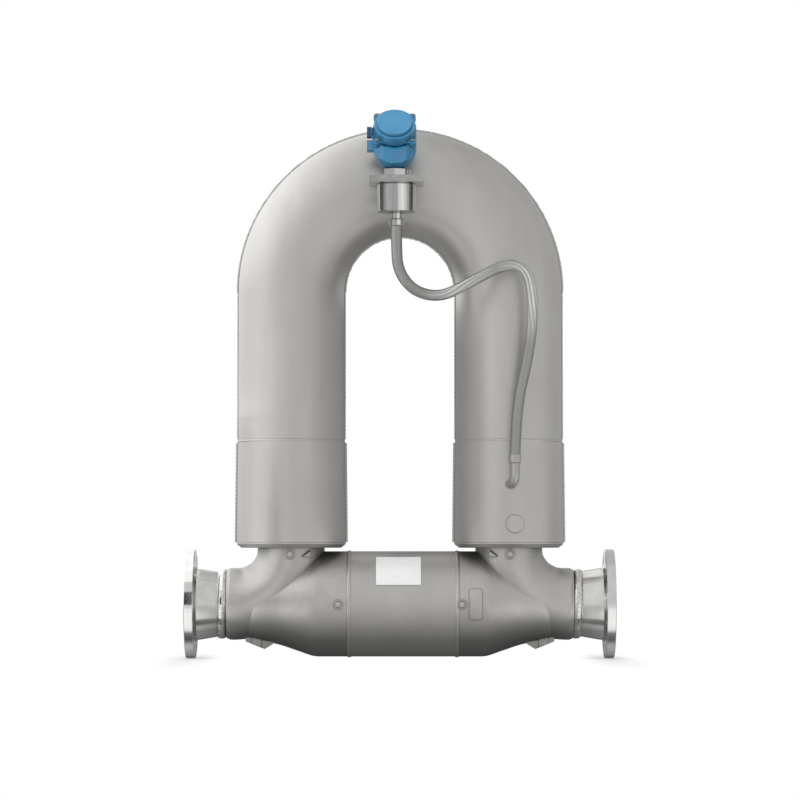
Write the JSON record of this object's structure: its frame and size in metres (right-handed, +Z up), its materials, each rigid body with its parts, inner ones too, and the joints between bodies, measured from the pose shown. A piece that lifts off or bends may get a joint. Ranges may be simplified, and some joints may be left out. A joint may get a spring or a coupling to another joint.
{
  "type": "coriolis flow meter",
  "caption": "Coriolis flow meter: arched tube case over a flanged inline body, with a slanted blue junction housing on a round can and a braided hose to one leg.",
  "frame": {"origin": "centre of the inlet flange's raised face, on the flow axis", "axes": "+X along the flow to the outlet face, +Z up the case legs, +Y away from the electronics"},
  "size_m": [1.1, 0.394, 1.3934],
  "materials": {
    "blasted_steel": "bead-blasted satin",
    "cast_steel": "blasted casting",
    "machined_steel": "machined",
    "polished_steel": "polished",
    "braid": "woven wire",
    "blue_paint": "satin paint",
    "gasket_rubber": "matte",
    "dark_plastic": "matte",
    "pale_plastic": "matte",
    "tube_steel": "drawn",
    "coil_plastic": "matte",
    "magnet_steel": "plated"
  },
  "bodies": {
    "meter": {"bracket_plate": "machined_steel", "braided_hose": "braid", "can_feedthrough": "dark_plastic", "can_ferrule": "machined_steel", "can_stub": "machined_steel", "case_front_shell": "blasted_steel", "case_rear_shell": "blasted_steel", "center_housing": "blasted_steel", "clamp_ring": "machined_steel", "clamp_screw": "machined_steel", "electronics_can": "polished_steel", "inlet_flange": "machined_steel", "inlet_leg_ring": "blasted_steel", "inlet_leg_sleeve_front": "blasted_steel", "inlet_leg_sleeve_rear": "blasted_steel", "inlet_manifold": "cast_steel", "inlet_tube_brace": "tube_steel", "label_plate": "machined_steel", "leg_elbow_fitting": "blasted_steel", "leg_ferrule": "blasted_steel", "outlet_flange": "machined_steel", "outlet_leg_ring": "blasted_steel", "outlet_leg_sleeve_front": "blasted_steel", "outlet_leg_sleeve_rear": "blasted_steel", "outlet_manifold": "cast_steel", "outlet_tube_brace": "tube_steel", "purge_plug": "blasted_steel"},
    "housing": {"housing_body": "blue_paint", "housing_gasket": "gasket_rubber", "electronics_module": "dark_plastic", "terminal_block": "pale_plastic", "earth_tag": "machined_steel"},
    "lid": {"housing_lid": "blue_paint", "lid_screws": "machined_steel"},
    "front_tube": {"flow_tube_front": "tube_steel", "drive_coil": "coil_plastic", "inlet_pickoff_coil": "coil_plastic", "outlet_pickoff_coil": "coil_plastic", "temperature_sensor": "tube_steel"},
    "rear_tube": {"flow_tube_rear": "tube_steel", "drive_magnet": "magnet_steel", "inlet_pickoff_magnet": "magnet_steel", "outlet_pickoff_magnet": "magnet_steel"}
  },
  "joints": [
    {"name": "housing_turn", "type": "hinge", "parent": "meter", "child": "housing", "pos_m": [0.5365, -0.188, 1.09], "axis": [0, 0, 1], "range_deg": [-30, 180]},
    {"name": "lid_lift", "type": "slide", "parent": "housing", "child": "lid", "axis": [0, -0.788, 0.6157], "range_m": [0, 0.05]},
    {"name": "front_tube_swing", "type": "hinge", "parent": "meter", "child": "front_tube", "pos_m": [0.55, -0.06, 0.29], "axis": [1, 0, 0], "range_deg": [-0.05, 0.05], "stiffness_Nm_per_rad": 2000},
    {"name": "rear_tube_swing", "type": "hinge", "parent": "meter", "child": "rear_tube", "pos_m": [0.55, 0.06, 0.29], "axis": [1, 0, 0], "range_deg": [-0.05, 0.05], "stiffness_Nm_per_rad": 2000}
  ],
  "couplings": [
    {"joint": "rear_tube_swing", "follows": "front_tube_swing", "ratio": -1}
  ]
}
